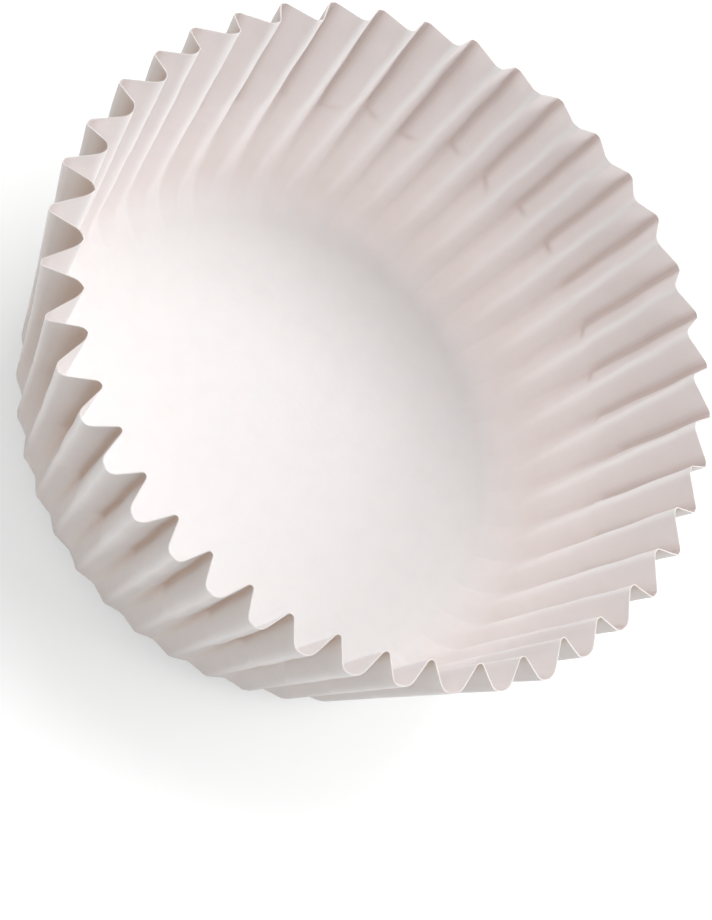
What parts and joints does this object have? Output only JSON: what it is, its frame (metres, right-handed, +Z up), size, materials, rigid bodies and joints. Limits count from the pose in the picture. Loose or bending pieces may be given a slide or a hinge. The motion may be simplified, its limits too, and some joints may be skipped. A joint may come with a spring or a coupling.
{
  "type": "cupcake liner",
  "caption": "Pleated paper baking cup, a round flat floor with a flared fluted wall and an open top, that holds batter or a small cake.",
  "frame": {"origin": "centre of the underside of the floor, where the cup stands", "axes": "+Z up along the cup's axis towards its open mouth, +X through a fold that points into the cup"},
  "size_m": [0.068, 0.068, 0.0301],
  "materials": {
    "greaseproof_paper": "bleached greaseproof paper, matt with a faint sheen, slightly see-through"
  },
  "bodies": {
    "root": {"liner": "greaseproof_paper"}
  },
  "joints": []
}
